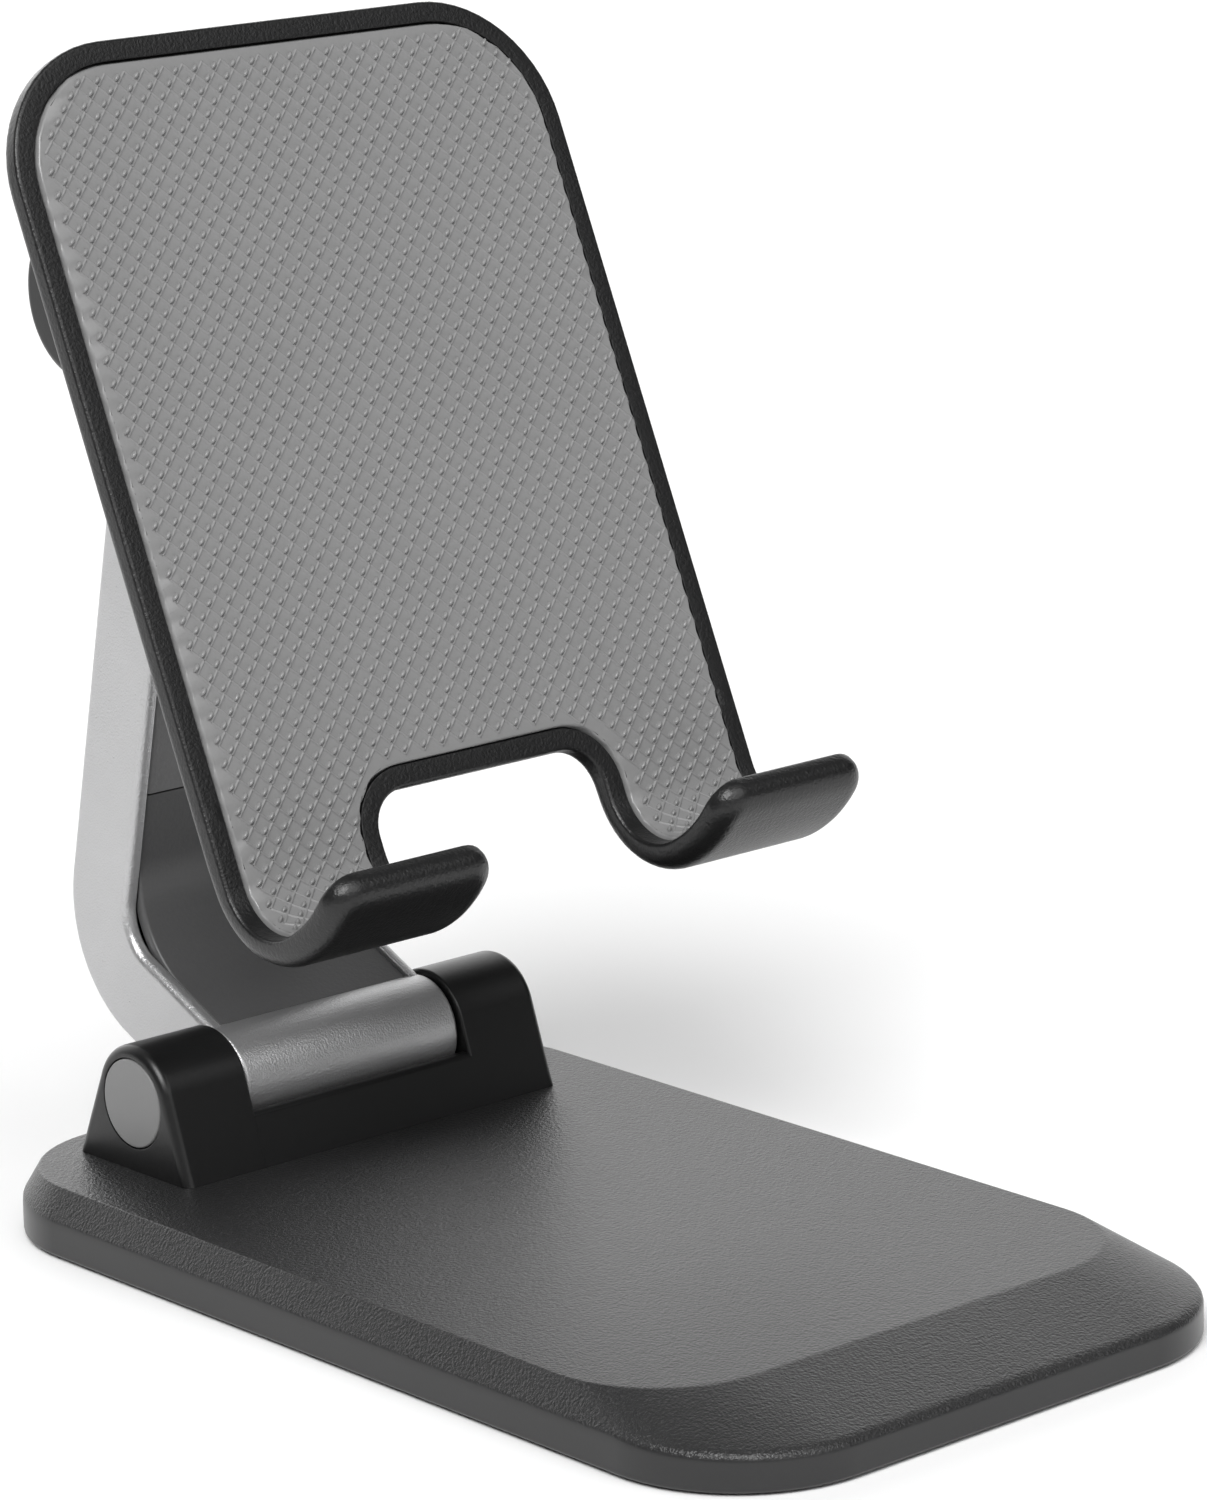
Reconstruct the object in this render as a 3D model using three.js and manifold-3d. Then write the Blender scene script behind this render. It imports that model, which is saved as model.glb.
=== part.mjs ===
// A folding desk stand for a phone. Millimetres, +X to the right of someone facing the stand,
// +Y to the back, +Z up, standing on its anti-slip mat at Z = 0.
//
// A weighted base carries a clevis. A U-section arm with a barrel at each end turns in it,
// and a second clevis on the back of the tray turns on the arm's upper barrel. Both hinges
// hold by friction. The tray is one moulded plate that ends in two J-shaped hooks, with a
// notch between them that lets the charging lead and the folding arm through.

import * as THREE from "three";
import { mergeVertices } from "three/addons/utils/BufferGeometryUtils.js";
import Module from "manifold-3d";

const wasm = await Module();
wasm.setup();

const { cos, sin, hypot, atan2, asin, tan, PI } = Math;
const radians = (degrees) => (degrees * PI) / 180;

// ---- Driving dimensions ----

const WIDTH = 75; // base, across
const LENGTH = 124.4; // base, front to back
const MAT_PROUD = 0.3; // how far the mat lifts the shell off the desk
const PLATEAU = MAT_PROUD + 7.1; // top of the base
const WALL = 1.8; // base shell
const CORNER_RADIUS = 16.6;
const CORNER_STEPS = 7;

const LOWER_AXIS = { y: 107.65, z: MAT_PROUD + 14.73 };
const UPPER_AXIS = { y: 112.3, z: MAT_PROUD + 102.4 };
const SHORT_LEG_ANGLE = 25; // the arm's short leg, up from horizontal
const LONG_LEG_ANGLE = 102.5; // the arm's long leg, leaning forward
const BEND_RADIUS = 10.5; // middle of the arm's depth
const ARM_HALF_WIDTH = 15;
const ARM_HALF_DEPTH = 5.2;
const ARM_WALL = 1.6;
const ARM_BACK = 1.8;
const BARREL_RADIUS = 5.9;
const COVER_SINK = 0.35; // covers sit this far below the arm's rims
const COVER_THICKNESS = 1.4;
const COVER_START = 3.2; // from the lower axis along the short leg
const COVER_SEAM = 59.5; // from the upper axis down the long leg
const COVER_END = 8; // from the upper axis down the long leg

const EAR_INNER = 15.2; // half the gap between a clevis's ears
const SLOT_RADIUS = 6.3; // round a barrel
const CRADLE = -1.85; // height of the cradle wall, from the hinge axis
const PIN_RADIUS = 1.95;
const BORE_RADIUS = 2.1;
const CAP_RADIUS = 4.95;
const CAP_THICKNESS = 1.1;
const COUNTERBORE_RADIUS = 4.2;
const COUNTERBORE_DEPTH = 3.9; // below the ear's outer face

const TRAY_LEAN = 23.43; // degrees back from upright
const TRAY_HALF_WIDTH = 36.67;
const TRAY_FRONT = -11.54; // front face, from the upper axis
const TRAY_TOP = 24.2; // above the upper axis
const TRAY_THICKNESS = 2.9;
const TRAY_ROUND = 1; // long edges of the tray
const TRAY_CORNER = 15;
const HOOK_RADIUS = 6.8; // inside of the J
const HOOK_BOTTOM = -65.4; // where the J begins, below the upper axis
const HOOK_TURN = 91.7; // degrees that the J turns through before it opens out
const LIP_RADIUS = 14.25; // inside of the hook's flatter end
const LIP_TURN = 42; // degrees
const LIP_END = 0.6; // straight run at the hook's tip
const LIP_CORNER = 3.3;
const TIP_ROUND = 2.65; // outer edge of the tip
const NOTCH_HALF_WIDTH = 15.5;
const NOTCH_TOP = -59.4;
const NOTCH_CORNER = 4.5;
const RIM = 2.35; // tray border left bare round the pad
const PAD_THICKNESS = 0.8;
const PAD_PROUD = 0.3;
const FIT_GAP = 0.2;
const RUN = 0.1; // clearance between parts that turn or slide together

// ---- Meshes into solids and back ----

function solidFrom(geometry) {
  const plain = geometry.clone();
  plain.deleteAttribute("normal");
  plain.deleteAttribute("uv");
  const merged = mergeVertices(plain, 1e-4);
  const corners = merged.index.array;
  const faces = [];
  for (let i = 0; i < corners.length; i += 3) {
    const [a, b, c] = corners.slice(i, i + 3);
    if (a !== b && b !== c && c !== a) faces.push(a, b, c);
  }
  return new wasm.Manifold(
    new wasm.Mesh({
      numProp: 3,
      vertProperties: new Float32Array(merged.attributes.position.array),
      triVerts: new Uint32Array(faces),
    }),
  );
}

function geometryFrom(solid) {
  const mesh = solid.getMesh();
  const geometry = new THREE.BufferGeometry();
  geometry.setAttribute("position", new THREE.BufferAttribute(mesh.vertProperties, 3));
  geometry.setIndex(new THREE.BufferAttribute(mesh.triVerts, 1));
  geometry.computeVertexNormals();
  return geometry;
}

const join = (first, ...others) => others.reduce((body, other) => body.add(other), first);
const cut = (first, ...tools) => tools.reduce((body, tool) => body.subtract(tool), first);

// ---- Outlines ----

function arcPoints(x, y, radius, fromDegrees, toDegrees, steps) {
  const points = [];
  for (let i = 0; i <= steps; i += 1) {
    const angle = radians(fromDegrees + ((toDegrees - fromDegrees) * i) / steps);
    points.push(new THREE.Vector2(x + radius * cos(angle), y + radius * sin(angle)));
  }
  return points;
}

const outline = (...runs) => new THREE.Shape(runs.flat());
const point = (x, y) => new THREE.Vector2(x, y);
const circle = (radius, steps) => outline(arcPoints(0, 0, radius, 0, 360, steps).slice(1));

function rectangle(left, bottom, right, top) {
  return outline([point(left, bottom), point(right, bottom), point(right, top), point(left, top)]);
}

// ---- Extrusions, revolves and lofts ----

const SIDEWAYS = new THREE.Matrix4().makeBasis(
  new THREE.Vector3(0, 1, 0),
  new THREE.Vector3(0, 0, 1),
  new THREE.Vector3(1, 0, 0),
);

/** A profile drawn in (y, z), carried across from one x to another. */
function acrossX(shape, from, to) {
  const geometry = new THREE.ExtrudeGeometry(shape, { depth: to - from, bevelEnabled: false });
  return solidFrom(geometry.applyMatrix4(SIDEWAYS).translate(from, 0, 0));
}

/** An extrusion along Z from 0 to its length, with the edges at both ends rounded over. */
function extrudedRounded(shape, length, round) {
  return new THREE.ExtrudeGeometry(shape, {
    depth: length - 2 * round,
    bevelThickness: round,
    bevelSize: round,
    bevelOffset: -round,
    bevelSegments: 3,
  }).translate(0, 0, round);
}

/** A profile drawn in (y, z), carried across from one x to another, its end edges rounded. */
function acrossXRounded(shape, from, to, round) {
  const geometry = extrudedRounded(shape, to - from, round);
  return solidFrom(geometry.applyMatrix4(SIDEWAYS).translate(from, 0, 0));
}

/** A plan outline drawn in (x, y), raised from one height to another. */
function upZ(shape, from, to) {
  const geometry = new THREE.ExtrudeGeometry(shape, { depth: to - from, bevelEnabled: false });
  return solidFrom(geometry.translate(0, 0, from));
}

/** A front outline drawn in (x, z), carried back from one y to another. */
function backY(shape, from, to) {
  const geometry = new THREE.ExtrudeGeometry(shape, { depth: to - from, bevelEnabled: false });
  return solidFrom(geometry.rotateX(PI / 2).translate(0, to, 0));
}

/** The same, with the edges of the front and back faces rounded. */
function backYRounded(shape, from, to, round) {
  const geometry = extrudedRounded(shape, to - from, round);
  return solidFrom(geometry.rotateX(PI / 2).translate(0, to, 0));
}

/** A profile of [radius, height] pairs turned round the Z axis. */
function turned(profile, segments) {
  const points = profile.map(([radius, height]) => point(radius, height));
  return solidFrom(new THREE.LatheGeometry(points, segments).rotateX(PI / 2));
}

/** Rings of equal point count, joined in order and closed at both ends. */
function loft(rings) {
  const count = rings[0].length;
  const positions = rings.flat().flatMap((corner) => corner.toArray());
  const faces = [];
  for (let ring = 0; ring + 1 < rings.length; ring += 1) {
    for (let i = 0; i < count; i += 1) {
      const a = ring * count + i;
      const b = ring * count + ((i + 1) % count);
      faces.push(a, b, b + count, a, b + count, a + count);
    }
  }
  const top = (rings.length - 1) * count;
  for (const [a, b, c] of THREE.ShapeUtils.triangulateShape(rings[0], [])) {
    faces.push(c, b, a);
    faces.push(top + a, top + b, top + c);
  }
  const geometry = new THREE.BufferGeometry();
  geometry.setAttribute("position", new THREE.Float32BufferAttribute(positions, 3));
  geometry.setIndex(faces);
  return solidFrom(geometry);
}

/** One level of the base: a rounded rectangle in plan, at height z. */
function baseRing({ inset, front, radius, z }) {
  const half = WIDTH / 2 - inset;
  const back = LENGTH - inset;
  const corners = [
    [radius - half, front + radius, 180],
    [half - radius, front + radius, 270],
    [half - radius, back - radius, 0],
    [radius - half, back - radius, 90],
  ];
  return corners.flatMap(([x, y, start]) =>
    arcPoints(x, y, radius, start, start + 90, CORNER_STEPS).map(
      (corner) => new THREE.Vector3(corner.x, corner.y, z),
    ),
  );
}

// ---- Fasteners ----

/** A pan-head screw along +Z, its head's underside at z = 0. */
function screw(headRadius, headHeight, shankRadius, length) {
  const profile = [
    [0, -headHeight],
    [headRadius * 0.8, -headHeight],
    [headRadius, -headHeight * 0.6],
    [headRadius, 0],
    [shankRadius, 0],
    [shankRadius, length - 1],
    [shankRadius * 0.4, length],
    [0, length],
  ];
  const slot = upZ(rectangle(-headRadius, -0.25, headRadius, 0.25), -headHeight - 1, -headHeight * 0.6);
  return cut(turned(profile, 14), slot, slot.rotate(0, 0, 90));
}

// ---- Base ----

const BASE_SCREWS = [-29, 29].flatMap((x) => [24, 108].map((y) => ({ x, y })));
const CLEVIS_SCREWS = [-19.5, 19.5].flatMap((x) =>
  [-4.6, 4.8].map((y) => ({ x, y: LOWER_AXIS.y + y })),
);
const ROOF = PLATEAU - WALL; // underside of the base's top
const COVER_FLOOR = MAT_PROUD + 0.45; // bottom cover's lower face
const COVER_TOP = COVER_FLOOR + 1.4;
const PLATE_TOP = ROOF - 0.3; // ballast

const post = (radius, from, to, { x, y }) =>
  upZ(circle(radius, 16), from, to).translate(x, y, 0);

function baseShell() {
  const outside = loft([
    baseRing({ inset: 0.35, front: 0.35, radius: CORNER_RADIUS, z: MAT_PROUD }),
    baseRing({ inset: 0, front: 0, radius: CORNER_RADIUS, z: MAT_PROUD + 0.45 }),
    baseRing({ inset: 0, front: 0, radius: CORNER_RADIUS, z: MAT_PROUD + 3.3 }),
    baseRing({ inset: 0.3, front: 0.55, radius: CORNER_RADIUS, z: MAT_PROUD + 4.2 }),
    baseRing({ inset: 0.85, front: 3.2, radius: 16, z: MAT_PROUD + 5.1 }),
    baseRing({ inset: 1.5, front: 8, radius: 14.8, z: MAT_PROUD + 6.25 }),
    baseRing({ inset: 2.15, front: 13.5, radius: 13.8, z: PLATEAU }),
  ]);
  const inside = loft([
    baseRing({ inset: WALL, front: WALL, radius: CORNER_RADIUS - WALL, z: 0 }),
    baseRing({ inset: WALL, front: WALL, radius: CORNER_RADIUS - WALL, z: 2.9 }),
    baseRing({ inset: 3.4, front: 14.5, radius: 12.6, z: ROOF }),
  ]);
  const bosses = BASE_SCREWS.map((place) => post(2.7, COVER_TOP + 0.05, ROOF + 0.5, place));
  const pilots = BASE_SCREWS.map((place) => post(1.2, 0, ROOF + 0.6, place));
  const passages = CLEVIS_SCREWS.map((place) => post(1.4, ROOF - 1, PLATEAU + 1, place));
  return cut(join(cut(outside, inside), ...bosses), ...pilots, ...passages);
}

function baseBottomCover() {
  const gap = WALL + 0.15;
  const plate = loft([
    baseRing({ inset: gap, front: gap, radius: CORNER_RADIUS - gap, z: COVER_FLOOR }),
    baseRing({ inset: gap, front: gap, radius: CORNER_RADIUS - gap, z: COVER_TOP }),
  ]);
  const holes = BASE_SCREWS.map((place) => post(1.3, 0, ROOF, place));
  const recesses = BASE_SCREWS.map((place) => post(2.5, 0, COVER_FLOOR + 0.7, place));
  return cut(plate, ...holes, ...recesses);
}

function baseMat() {
  const inset = WALL + 0.5;
  return loft([
    baseRing({ inset, front: inset, radius: CORNER_RADIUS - inset, z: 0 }),
    baseRing({ inset, front: inset, radius: CORNER_RADIUS - inset, z: COVER_FLOOR - 0.02 }),
  ]);
}

function basePlate() {
  return upZ(rectangle(-25, 19, 25, 98), COVER_TOP + 0.5, PLATE_TOP);
}

// ---- Clevises: each is drawn about its own axis, foot downwards, open to the +Y side ----

/** The angle at which a line from a foot touches the clevis's round, on the given side. */
function tangentAngle(foot, radius, side) {
  const reach = hypot(foot.x, foot.y);
  return atan2(foot.y, foot.x) + side * (PI / 2 - asin(radius / reach));
}

function clevis({ footFront, footBack, seat, radius, earOuter, round }) {
  const front = point(-footFront, seat);
  const back = point(footBack, seat);
  const startAngle = (tangentAngle(back, radius, 1) * 180) / PI;
  const endAngle = (tangentAngle(front, radius, -1) * 180) / PI + 360;
  const below = 2 * round;
  const profile = outline(
    [point(-footFront, seat - below), point(footBack, seat - below), back],
    arcPoints(0, 0, radius, startAngle, endAngle, 12),
    [front],
  );
  const foot = acrossX(rectangle(-60, seat - 20, 60, seat), -60, 60);
  const block = cut(acrossXRounded(profile, -earOuter, earOuter, round), foot);
  const barrelRoom = acrossX(circle(SLOT_RADIUS, 28), -EAR_INNER, EAR_INNER);
  const overCradle = acrossX(rectangle(-40, CRADLE, 40, 40), -EAR_INNER, EAR_INNER);
  const legRoom = acrossX(rectangle(0, -SLOT_RADIUS, 40, 40), -EAR_INNER, EAR_INNER);
  const bore = acrossX(circle(BORE_RADIUS, 20), -60, 60);
  const pockets = [-1, 1].flatMap((side) => [
    earPocket(COUNTERBORE_RADIUS, COUNTERBORE_DEPTH, earOuter, side),
    earPocket(CAP_RADIUS + RUN, CAP_THICKNESS + 0.05, earOuter, side),
  ]);
  return cut(block, barrelRoom, overCradle, legRoom, bore, ...pockets);
}

/** A round pocket sunk in from a clevis's outer face. */
function earPocket(radius, depth, earOuter, side) {
  const ends = [side * (earOuter - depth), side * (earOuter + 5)].sort((a, b) => a - b);
  return acrossX(circle(radius, 28), ends[0], ends[1]);
}

/** What one hinge holds, about its axis: pin, nut, washers, bush and end caps. */
function hingeHardware(earOuter) {
  const headEnd = earOuter - CAP_THICKNESS - 0.25;
  const seat = earOuter - COUNTERBORE_DEPTH + 0.02;
  const alongX = (solid) => solid.rotate(0, 90, 0);
  const pin = turned(
    [
      [0, -headEnd],
      [3.2, -headEnd],
      [3.6, -headEnd + 0.4],
      [3.6, -seat],
      [PIN_RADIUS, -seat],
      [PIN_RADIUS, headEnd - 0.4],
      [PIN_RADIUS - 0.4, headEnd],
      [0, headEnd],
    ],
    20,
  );
  const nut = cut(
    upZ(circle(3.75, 6), seat, headEnd - 0.3),
    upZ(circle(PIN_RADIUS + 0.12, 20), 0, earOuter),
  );
  const washerFrom = ARM_HALF_WIDTH - 0.4;
  const ring = [
    [BORE_RADIUS, washerFrom],
    [4.3, washerFrom + 0.12],
    [4.3, washerFrom + 0.5],
    [BORE_RADIUS, washerFrom + 0.38],
    [BORE_RADIUS, washerFrom],
  ];
  const washer = turned(ring, 20);
  const bushEnd = washerFrom - 0.1;
  const bush = turned(
    [
      [BORE_RADIUS, -bushEnd],
      [3, -bushEnd],
      [3, bushEnd],
      [BORE_RADIUS, bushEnd],
      [BORE_RADIUS, -bushEnd],
    ],
    20,
  );
  const cap = turned(
    [
      [0, earOuter - CAP_THICKNESS],
      [CAP_RADIUS, earOuter - CAP_THICKNESS],
      [CAP_RADIUS, earOuter - 0.2],
      [CAP_RADIUS - 0.25, earOuter + 0.05],
      [0, earOuter + 0.05],
    ],
    36,
  );
  const mirrored = (solid) => solid.rotate(0, 180, 0);
  return {
    pin: alongX(pin),
    pin_nut: alongX(nut),
    friction_washer_right: alongX(washer),
    friction_washer_left: alongX(mirrored(washer)),
    bush: alongX(bush),
    cap_right: alongX(cap),
    cap_left: alongX(mirrored(cap)),
  };
}

// ---- Arm: every edge is the middle line from axis to axis, moved inwards by an offset ----

const legDirection = (degrees) => point(cos(radians(degrees)), sin(radians(degrees)));
const inwards = (degrees) => point(-sin(radians(degrees)), cos(radians(degrees)));

/** Where the two legs' middle lines would meet, and the centre of the bend between them. */
function armBend() {
  const shortWay = legDirection(SHORT_LEG_ANGLE);
  const longWay = legDirection(LONG_LEG_ANGLE);
  const across = UPPER_AXIS.y - LOWER_AXIS.y;
  const up = UPPER_AXIS.z - LOWER_AXIS.z;
  const turn = shortWay.x * longWay.y - shortWay.y * longWay.x;
  const shortRun = (across * longWay.y - up * longWay.x) / turn;
  const half = radians(LONG_LEG_ANGLE - SHORT_LEG_ANGLE) / 2;
  const tangentRun = shortRun - BEND_RADIUS * tan(half);
  const into = inwards(SHORT_LEG_ANGLE);
  return {
    y: LOWER_AXIS.y + tangentRun * shortWay.x + BEND_RADIUS * into.x,
    z: LOWER_AXIS.z + tangentRun * shortWay.y + BEND_RADIUS * into.y,
  };
}

const BEND = armBend();

/** A point on a leg, a given run from its axis towards the bend, offset inwards. */
function legPoint(axis, degrees, run, offset) {
  const way = legDirection(degrees);
  const into = inwards(degrees);
  return point(axis.y + run * way.x + offset * into.x, axis.z + run * way.y + offset * into.y);
}

function armEdge(offset, shortStart, longEnd) {
  return [
    legPoint(LOWER_AXIS, SHORT_LEG_ANGLE, shortStart, offset),
    ...arcPoints(
      BEND.y, BEND.z, BEND_RADIUS - offset, SHORT_LEG_ANGLE - 90, LONG_LEG_ANGLE - 90, 12,
    ),
    legPoint(UPPER_AXIS, LONG_LEG_ANGLE, -longEnd, offset),
  ];
}

/** A strip of the arm's side view between two offsets. */
function armBand(outer, inner, shortStart, longEnd) {
  const far = armEdge(outer, shortStart, longEnd);
  const near = armEdge(inner, shortStart, longEnd);
  return outline(far, near.reverse());
}

/** A strip of the long leg only, between two runs down from the upper axis. */
function longLegBand(outer, inner, from, to) {
  return outline([
    legPoint(UPPER_AXIS, LONG_LEG_ANGLE, -to, outer),
    legPoint(UPPER_AXIS, LONG_LEG_ANGLE, -from, outer),
    legPoint(UPPER_AXIS, LONG_LEG_ANGLE, -from, inner),
    legPoint(UPPER_AXIS, LONG_LEG_ANGLE, -to, inner),
  ]);
}

const coverFace = ARM_HALF_DEPTH - COVER_SINK;
const coverBack = coverFace - COVER_THICKNESS;

function armShell() {
  const full = ARM_HALF_WIDTH;
  const clear = ARM_HALF_WIDTH - ARM_WALL;
  const limb = acrossX(armBand(-ARM_HALF_DEPTH, ARM_HALF_DEPTH, 0, 0), -full, full);
  const barrelAt = (radius, half, axis) =>
    acrossX(circle(radius, 32), -half, half).translate(0, axis.y, axis.z);
  const barrels = [LOWER_AXIS, UPPER_AXIS].map((axis) => barrelAt(BARREL_RADIUS, full, axis));
  const channel = acrossX(armBand(ARM_BACK - ARM_HALF_DEPTH, 9, 8, 10), -clear, clear);
  const rebate = acrossX(
    armBand(coverBack - FIT_GAP, 9, COVER_START, COVER_END - FIT_GAP), -clear, clear,
  );
  const bores = [LOWER_AXIS, UPPER_AXIS].map((axis) => barrelAt(3 + RUN, full + 1, axis));
  const washerSeats = [LOWER_AXIS, UPPER_AXIS].flatMap((axis) =>
    [-1, 1].map((side) =>
      barrelAt(4.4, 0.5, axis).translate(side * full, 0, 0),
    ),
  );
  const ribs = [-6, 6].map((x) =>
    acrossX(
      armBand(0.5 - ARM_HALF_DEPTH, coverBack - FIT_GAP, 7.5, 9.5), x - 0.6, x + 0.6,
    ),
  );
  const open = cut(join(limb, ...barrels), channel, rebate);
  return cut(join(open, ...ribs), ...bores, ...washerSeats);
}

function armCoverLower() {
  const half = ARM_HALF_WIDTH - ARM_WALL - FIT_GAP;
  return acrossX(
    armBand(coverBack, coverFace, COVER_START + FIT_GAP, COVER_SEAM + 0.1), -half, half,
  );
}

function armCoverUpper() {
  const half = ARM_HALF_WIDTH - ARM_WALL - FIT_GAP;
  return acrossX(
    longLegBand(coverBack, coverFace, COVER_END, COVER_SEAM - 0.1), -half, half,
  );
}

// ---- Tray and pad: upright about the upper axis, then leaned back with their group ----

const HOOK_RUN = HOOK_RADIUS * radians(HOOK_TURN); // along the inside of the J
const LIP_RUN = LIP_RADIUS * radians(LIP_TURN);
const TIP_RUN = HOOK_RUN + LIP_RUN + LIP_END;
const TIP_WAY = legDirection(-HOOK_TURN - LIP_TURN - 90);
const PANEL_BACK = TRAY_FRONT + TRAY_THICKNESS;

/** A point in side view, a run along the hook's inside face and an offset out of it. */
function hookPoint(run, offset) {
  const bend = point(TRAY_FRONT - HOOK_RADIUS, HOOK_BOTTOM);
  const turned = Math.min(run, HOOK_RUN) / HOOK_RADIUS;
  const alongLip = Math.min(Math.max(run - HOOK_RUN, 0), LIP_RUN);
  const beyond = Math.max(run - HOOK_RUN - LIP_RUN, 0);
  const opened = bend.addScaledVector(legDirection(-HOOK_TURN), HOOK_RADIUS - LIP_RADIUS);
  if (run <= HOOK_RUN) {
    const out = point(cos(turned), -sin(turned));
    return point(TRAY_FRONT - HOOK_RADIUS, HOOK_BOTTOM).addScaledVector(out, HOOK_RADIUS + offset);
  }
  const out = legDirection(-HOOK_TURN - (alongLip / LIP_RUN) * LIP_TURN);
  return opened.addScaledVector(out, LIP_RADIUS + offset).addScaledVector(TIP_WAY, beyond);
}

/** The hook's inside face, moved out by an offset, from the panel to a given run. */
function hookEdge(offset, endRun) {
  const bend = Array.from({ length: 10 }, (_, i) => hookPoint((HOOK_RUN * i) / 10, offset));
  const lip = Array.from({ length: 7 }, (_, i) =>
    hookPoint(HOOK_RUN + ((endRun - HOOK_RUN) * i) / 6, offset),
  );
  return [...bend, ...lip];
}

/** One hook in side view: up to the panel, and rounded on the outside of its tip. */
function hookOutline() {
  const top = HOOK_BOTTOM + 1.4;
  const tip = [30, 60].map((degrees) => {
    const turn = radians(degrees);
    return hookPoint(TIP_RUN - TIP_ROUND * (1 - cos(turn)), TRAY_THICKNESS * sin(turn));
  });
  return outline(
    [point(TRAY_FRONT, top)],
    hookEdge(0, TIP_RUN),
    tip,
    hookEdge(TRAY_THICKNESS, TIP_RUN - TIP_ROUND).reverse(),
    [point(PANEL_BACK, top)],
  );
}

/** The front outline of the tray or its pad, drawn in by an inset, down to a given height. */
function trayOutline(inset, bottom) {
  const half = TRAY_HALF_WIDTH - inset;
  const top = TRAY_TOP - inset;
  const corner = TRAY_CORNER - inset;
  const notch = NOTCH_HALF_WIDTH + inset;
  const notchTop = NOTCH_TOP + inset;
  const notchCorner = NOTCH_CORNER + inset;
  return outline(
    [point(-half, bottom), point(-notch, bottom)],
    arcPoints(notchCorner - notch, notchTop - notchCorner, notchCorner, 180, 90, 6),
    arcPoints(notch - notchCorner, notchTop - notchCorner, notchCorner, 90, 0, 6),
    [point(notch, bottom), point(half, bottom)],
    arcPoints(half - corner, top - corner, corner, 0, 90, 8),
    arcPoints(corner - half, top - corner, corner, 90, 180, 8),
  );
}

/** A layer that follows the tray's front face, between two offsets. */
function faceLayer(outer, inner, endRun, inset) {
  const above = TRAY_TOP + 5;
  const near = [point(TRAY_FRONT + inner, above), ...hookEdge(inner, endRun)];
  const far = [point(TRAY_FRONT + outer, above), ...hookEdge(outer, endRun)];
  const layer = acrossX(outline(near, far.reverse()), -60, 60);
  return layer.intersect(backY(trayOutline(inset, -90), -60, 20));
}

/** What a tip's rounded corner leaves out, at the hook's side edge x; side points outwards. */
function tipCornerTool(x, side) {
  const reach = LIP_CORNER + 4;
  const quarter = side > 0 ? rectangle(0, 0, reach, reach) : rectangle(-reach, 0, 0, reach);
  const leftOver = cut(upZ(quarter, -8, 8), upZ(circle(LIP_CORNER, 32), -9, 9));
  const tip = hookPoint(TIP_RUN, 0);
  return leftOver
    .translate(x - side * LIP_CORNER, -LIP_CORNER, 0)
    .rotate((atan2(TIP_WAY.y, TIP_WAY.x) * 180) / PI, 0, 0)
    .translate(0, tip.x, tip.y);
}

const TRAY_SCREWS = [-19.5, 19.5].flatMap((x) => [-8.2, 8.2].map((z) => ({ x, z })));
const POCKET = PAD_THICKNESS - PAD_PROUD + FIT_GAP;

const boreBack = (radius, from, to, { x, z }) =>
  backY(circle(radius, 16), from, to).translate(x, 0, z);

function tray() {
  const panel = backYRounded(trayOutline(0, HOOK_BOTTOM), TRAY_FRONT, PANEL_BACK, TRAY_ROUND);
  const hooks = [
    [-TRAY_HALF_WIDTH, -NOTCH_HALF_WIDTH], [NOTCH_HALF_WIDTH, TRAY_HALF_WIDTH],
  ].map(([from, to]) => acrossXRounded(hookOutline(), from, to, TRAY_ROUND));
  const pocket = faceLayer(POCKET, -3, TIP_RUN - RIM, RIM);
  const corners = [
    [-TRAY_HALF_WIDTH, -1], [-NOTCH_HALF_WIDTH, 1], [NOTCH_HALF_WIDTH, -1], [TRAY_HALF_WIDTH, 1],
  ].map(([x, side]) => tipCornerTool(x, side));
  const holes = TRAY_SCREWS.flatMap((place) => [
    boreBack(1.4, -20, 0, place),
    boreBack(2.4, -20, TRAY_FRONT + POCKET + 0.7, place),
  ]);
  return cut(join(panel, ...hooks), pocket, ...corners, ...holes);
}

function pad() {
  const back = PAD_THICKNESS - PAD_PROUD;
  return faceLayer(back, -PAD_PROUD, TIP_RUN - RIM - FIT_GAP, RIM + FIT_GAP);
}

// ---- The assembly ----

const FINISHES = {
  black_abs: { color: 0x1f1f20, roughness: 0.42, metalness: 0 },
  base_abs: { color: 0x303031, roughness: 0.6, metalness: 0 },
  silver_paint: { color: 0xb9b9ba, roughness: 0.4, metalness: 0.5 },
  cover_abs: { color: 0x474748, roughness: 0.5, metalness: 0 },
  grey_silicone: { color: 0x828283, roughness: 0.55, metalness: 0 },
  grey_cap: { color: 0x8d8d8e, roughness: 0.5, metalness: 0 },
  black_rubber: { color: 0x242424, roughness: 0.9, metalness: 0 },
  steel: { color: 0x9a9a9c, roughness: 0.35, metalness: 1 },
  nylon: { color: 0xd6d4cc, roughness: 0.6, metalness: 0 },
};

const stand = new THREE.Group();

function add(group, name, solid, finish) {
  const mesh = new THREE.Mesh(geometryFrom(solid), new THREE.MeshStandardMaterial(FINISHES[finish]));
  mesh.name = name;
  group.add(mesh);
}

const HARDWARE_FINISH = {
  pin: "steel",
  pin_nut: "steel",
  friction_washer_right: "steel",
  friction_washer_left: "steel",
  bush: "nylon",
  cap_right: "grey_cap",
  cap_left: "grey_cap",
};

function addHinge(group, prefix, earOuter) {
  for (const [name, solid] of Object.entries(hingeHardware(earOuter))) {
    add(group, `${prefix}_${name}`, solid, HARDWARE_FINISH[name]);
  }
}

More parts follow.
